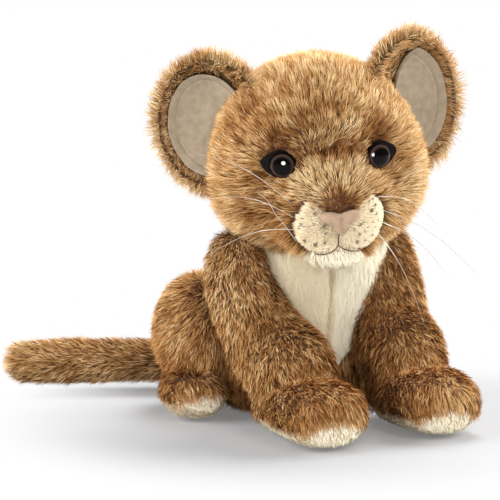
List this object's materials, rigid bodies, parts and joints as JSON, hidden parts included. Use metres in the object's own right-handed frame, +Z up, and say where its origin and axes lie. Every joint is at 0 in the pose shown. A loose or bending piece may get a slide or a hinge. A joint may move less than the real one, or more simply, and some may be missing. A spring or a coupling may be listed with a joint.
{
  "type": "plush lion",
  "caption": "Sitting stuffed lion cub of golden-brown plush, with cream bib and muzzle, lined round ears, a long tail, and limbs, head and ears that move.",
  "frame": {"origin": "middle of the flat seat, on the surface that the lion sits on", "axes": "+Z up, -Y ahead of the lion's body, +X to the lion's own left"},
  "size_m": [0.2233, 0.2559, 0.2279],
  "materials": {
    "brown_fur": "matte",
    "cream_plush": "matte",
    "velour": "matte",
    "black_felt": "matte",
    "nose_suede": "matte",
    "fibre": "matte",
    "pellet_cloth": "matte",
    "eye_plastic": "gloss",
    "washer_plastic": "matte",
    "nylon": "satin"
  },
  "bodies": {
    "torso": {"torso_skin": "brown_fur", "chest_bib": "cream_plush", "torso_stuffing": "fibre", "pellet_bag": "pellet_cloth"},
    "neck": {"neck_skin": "brown_fur", "neck_stuffing": "fibre"},
    "head": {"head_skin": "brown_fur", "head_stuffing": "fibre", "muzzle_patch_left": "cream_plush", "muzzle_patch_right": "cream_plush", "chin_patch": "cream_plush", "nose": "nose_suede", "eye_left": "eye_plastic", "eye_right": "eye_plastic", "eyelid_left": "black_felt", "eyelid_right": "black_felt", "eye_washer_left": "washer_plastic", "eye_washer_right": "washer_plastic", "whisker_left_1": "nylon", "whisker_left_2": "nylon", "whisker_left_3": "nylon", "whisker_left_4": "nylon", "whisker_right_1": "nylon", "whisker_right_2": "nylon", "whisker_right_3": "nylon", "whisker_right_4": "nylon"},
    "ear_left": {"ear_back_left": "brown_fur", "ear_lining_left": "velour"},
    "ear_right": {"ear_back_right": "brown_fur", "ear_lining_right": "velour"},
    "front_leg_left": {"front_leg_left_skin": "brown_fur", "front_leg_left_sole": "cream_plush", "front_leg_left_stuffing": "fibre"},
    "front_leg_right": {"front_leg_right_skin": "brown_fur", "front_leg_right_sole": "cream_plush", "front_leg_right_stuffing": "fibre"},
    "hind_leg_left": {"hind_leg_left_skin": "brown_fur", "hind_leg_left_sole": "cream_plush", "hind_leg_left_stuffing": "fibre"},
    "hind_leg_right": {"hind_leg_right_skin": "brown_fur", "hind_leg_right_sole": "cream_plush", "hind_leg_right_stuffing": "fibre"},
    "tail": {"tail_skin": "brown_fur", "tail_stuffing": "fibre"}
  },
  "joints": [
    {"name": "neck_turn", "type": "hinge", "parent": "torso", "child": "neck", "pos_m": [0, -0.034, 0.124], "axis": [0, 0, 1], "range_deg": [-20, 35]},
    {"name": "head_nod", "type": "hinge", "parent": "neck", "child": "head", "pos_m": [0, -0.034, 0.124], "axis": [0.9563, -0.2924, 0], "range_deg": [-10, 12]},
    {"name": "ear_left_fold", "type": "hinge", "parent": "head", "child": "ear_left", "pos_m": [0.03253, -0.04717, 0.18551], "axis": [0.0819, 0.0297, -0.9962], "range_deg": [-10, 20], "stiffness_Nm_per_rad": 0.03},
    {"name": "ear_right_fold", "type": "hinge", "parent": "head", "child": "ear_right", "pos_m": [-0.0422, -0.02433, 0.18004], "axis": [-0.0819, -0.0297, 0.9962], "range_deg": [-10, 20], "stiffness_Nm_per_rad": 0.03},
    {"name": "front_leg_left_swing", "type": "hinge", "parent": "torso", "child": "front_leg_left", "pos_m": [0.043, -0.028, 0.088], "axis": [-1, 0, 0], "range_deg": [0, 25]},
    {"name": "front_leg_right_swing", "type": "hinge", "parent": "torso", "child": "front_leg_right", "pos_m": [-0.043, -0.028, 0.088], "axis": [-1, 0, 0], "range_deg": [0, 25]},
    {"name": "hind_leg_left_splay", "type": "hinge", "parent": "torso", "child": "hind_leg_left", "pos_m": [0.043, 0.0379, 0.045], "axis": [0, 0, 1], "range_deg": [0, 20]},
    {"name": "hind_leg_right_splay", "type": "hinge", "parent": "torso", "child": "hind_leg_right", "pos_m": [-0.043, 0.0379, 0.045], "axis": [0, 0, -1], "range_deg": [0, 20]},
    {"name": "tail_swing", "type": "hinge", "parent": "torso", "child": "tail", "pos_m": [0, 0.04, 0.0195], "axis": [0, 0, 1], "range_deg": [-100, 10]}
  ]
}
